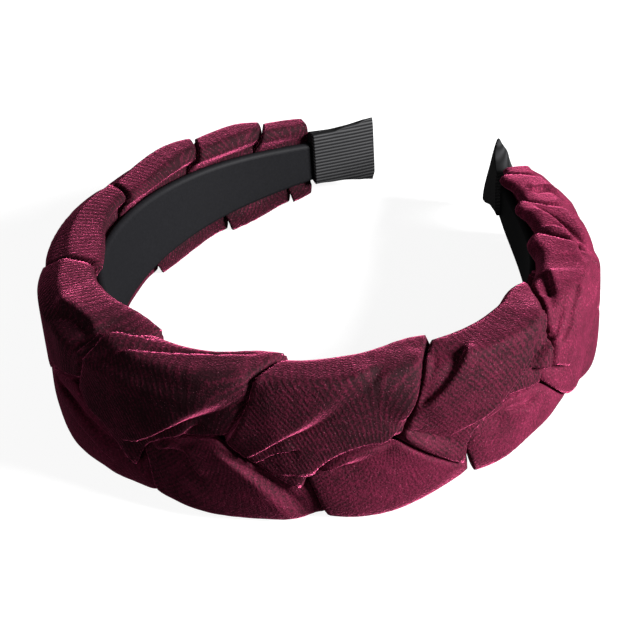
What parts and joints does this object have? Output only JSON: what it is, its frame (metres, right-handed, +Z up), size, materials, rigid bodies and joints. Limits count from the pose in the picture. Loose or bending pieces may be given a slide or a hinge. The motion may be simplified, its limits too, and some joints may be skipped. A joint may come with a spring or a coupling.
{
  "type": "braided headband",
  "caption": "Springy open headband carrying a thick padded braid of ribbed burgundy velvet, lined in black satin, with black ribbon folded round both ends.",
  "frame": {"origin": "under the middle of the headband's outline, on the surface it lies on", "axes": "+Z up from that surface, through the open hoop; +Y from the crown to the two ends; +X to the right of someone facing the crown's outside"},
  "size_m": [0.149, 0.1557, 0.0439],
  "materials": {
    "velvet": "ribbed velvet with a bright nap at grazing angles",
    "satin": "smooth matt satin",
    "ribbon": "finely ribbed grosgrain"
  },
  "bodies": {
    "root": {"hoop_band": "satin", "strand_a": "velvet", "strand_b": "velvet", "strand_c": "velvet", "end_wrap_left": "ribbon", "end_wrap_right": "ribbon"}
  },
  "joints": []
}
